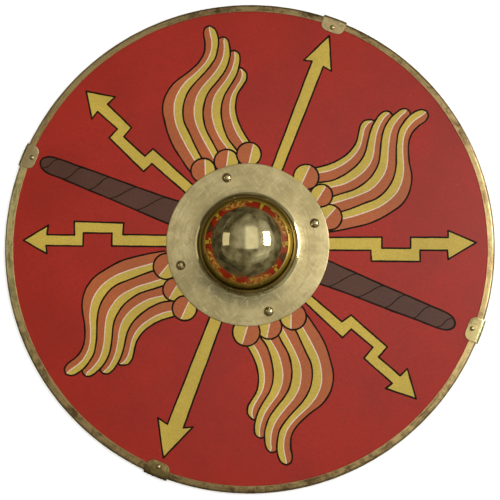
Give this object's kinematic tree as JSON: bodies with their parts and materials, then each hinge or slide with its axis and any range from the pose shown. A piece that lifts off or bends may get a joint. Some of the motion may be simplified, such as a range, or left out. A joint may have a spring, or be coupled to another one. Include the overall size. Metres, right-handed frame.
{
  "type": "roman round shield",
  "caption": "Round Roman-style shield: dished painted board with wings, arrows and bolts, brass edging with clips, hollow brass boss and a wooden grip behind it.",
  "frame": {"origin": "under the middle of the shield, on the floor that its four clips rest on as it lies face up", "axes": "+Z out of the face towards the boss; +Y towards the picture's top, +X towards the picture's right"},
  "size_m": [0.6098, 0.6099, 0.101],
  "materials": {
    "painted_board": "plywood, face painted satin red with ochre, orange, brown and black design; bare stained wood at the back",
    "boss_brass": "polished dome, brushed and lightly tarnished flange",
    "edging_brass": "antique brass sheet",
    "clip_brass": "antique brass sheet, dented",
    "rivet_brass": "domed heads, dark round the edge",
    "grip_wood": "oiled hardwood"
  },
  "bodies": {
    "root": {"board": "painted_board", "boss": "boss_brass", "grip": "grip_wood", "boss_rivet_1": "rivet_brass", "rim_strip_1": "edging_brass", "rim_clip_1": "clip_brass", "clip_pin_1": "rivet_brass", "boss_rivet_2": "rivet_brass", "rim_strip_2": "edging_brass", "rim_clip_2": "clip_brass", "clip_pin_2": "rivet_brass", "boss_rivet_3": "rivet_brass", "rim_strip_3": "edging_brass", "rim_clip_3": "clip_brass", "clip_pin_3": "rivet_brass", "boss_rivet_4": "rivet_brass", "rim_strip_4": "edging_brass", "rim_clip_4": "clip_brass", "clip_pin_4": "rivet_brass"}
  },
  "joints": []
}
